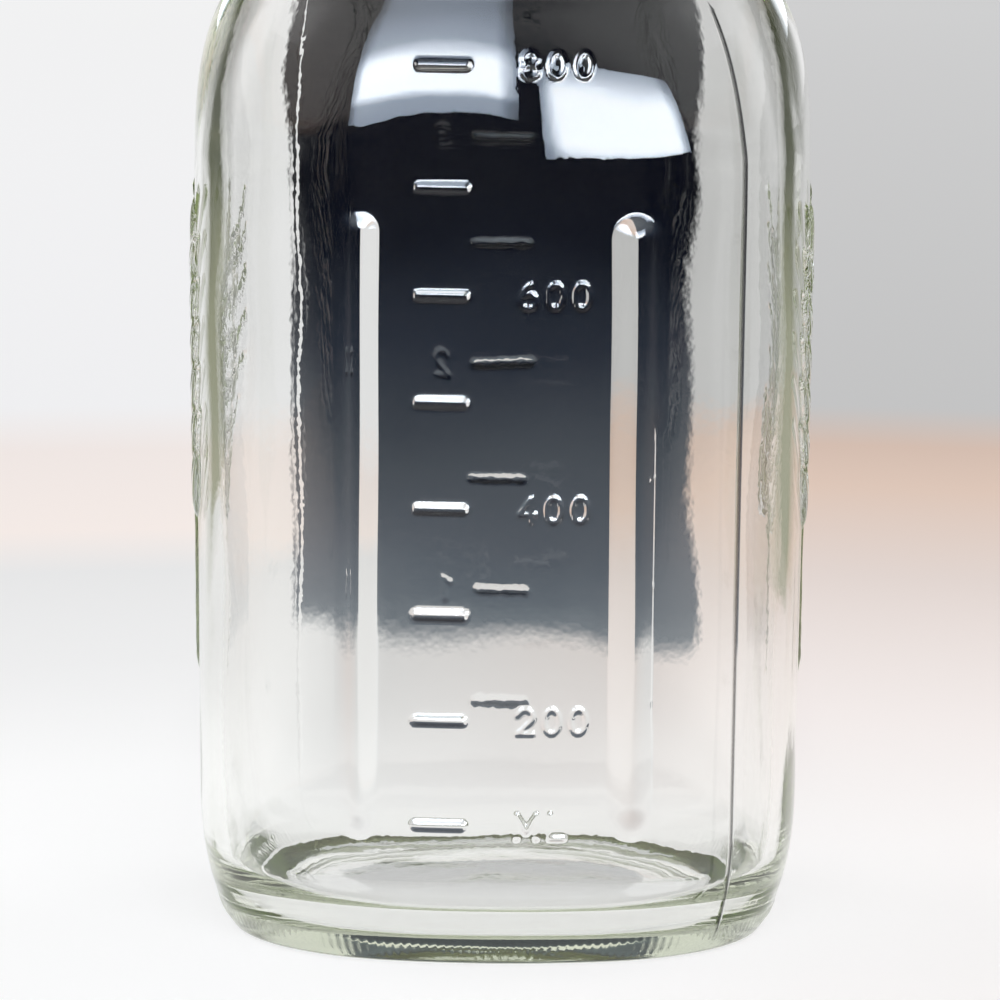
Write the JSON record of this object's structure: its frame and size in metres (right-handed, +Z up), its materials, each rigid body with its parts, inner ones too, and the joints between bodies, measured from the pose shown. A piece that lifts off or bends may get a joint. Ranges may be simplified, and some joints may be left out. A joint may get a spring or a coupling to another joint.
{
  "type": "sourdough starter jar",
  "caption": "Wide-mouth glass starter jar with a rounded-square body, raised side scales and a two-part screw lid.",
  "frame": {"origin": "middle of the foot's bearing ring, on the surface that the jar stands on", "axes": "+Z up along the jar's axis, -Y towards the face with the millilitre scale, +X to the right as seen from that face"},
  "size_m": [0.0936, 0.0945, 0.1713],
  "materials": {
    "glass": "clear blown soda-lime glass, faint sage green in thick parts",
    "lid_tinplate": "bright tinplate under clear lacquer",
    "sealing_compound": "matte moulded compound",
    "band_tinplate": "bright rolled tinplate"
  },
  "bodies": {
    "jar": {"jar_body": "glass"},
    "lid": {"lid_disc": "lid_tinplate", "lid_seal": "sealing_compound"},
    "band": {"screw_band": "band_tinplate"}
  },
  "joints": [
    {"name": "closure_rise", "type": "slide", "parent": "jar", "child": "lid", "axis": [0, 0, 1], "range_m": [0, 0.02]},
    {"name": "band_turn", "type": "hinge", "parent": "lid", "child": "band", "pos_m": [0, 0, 0.16], "axis": [0, 0, 1], "range_deg": [0, 1440]}
  ],
  "couplings": [
    {"joint": "closure_rise", "follows": "band_turn", "m_per_rad": 0.00079577}
  ]
}
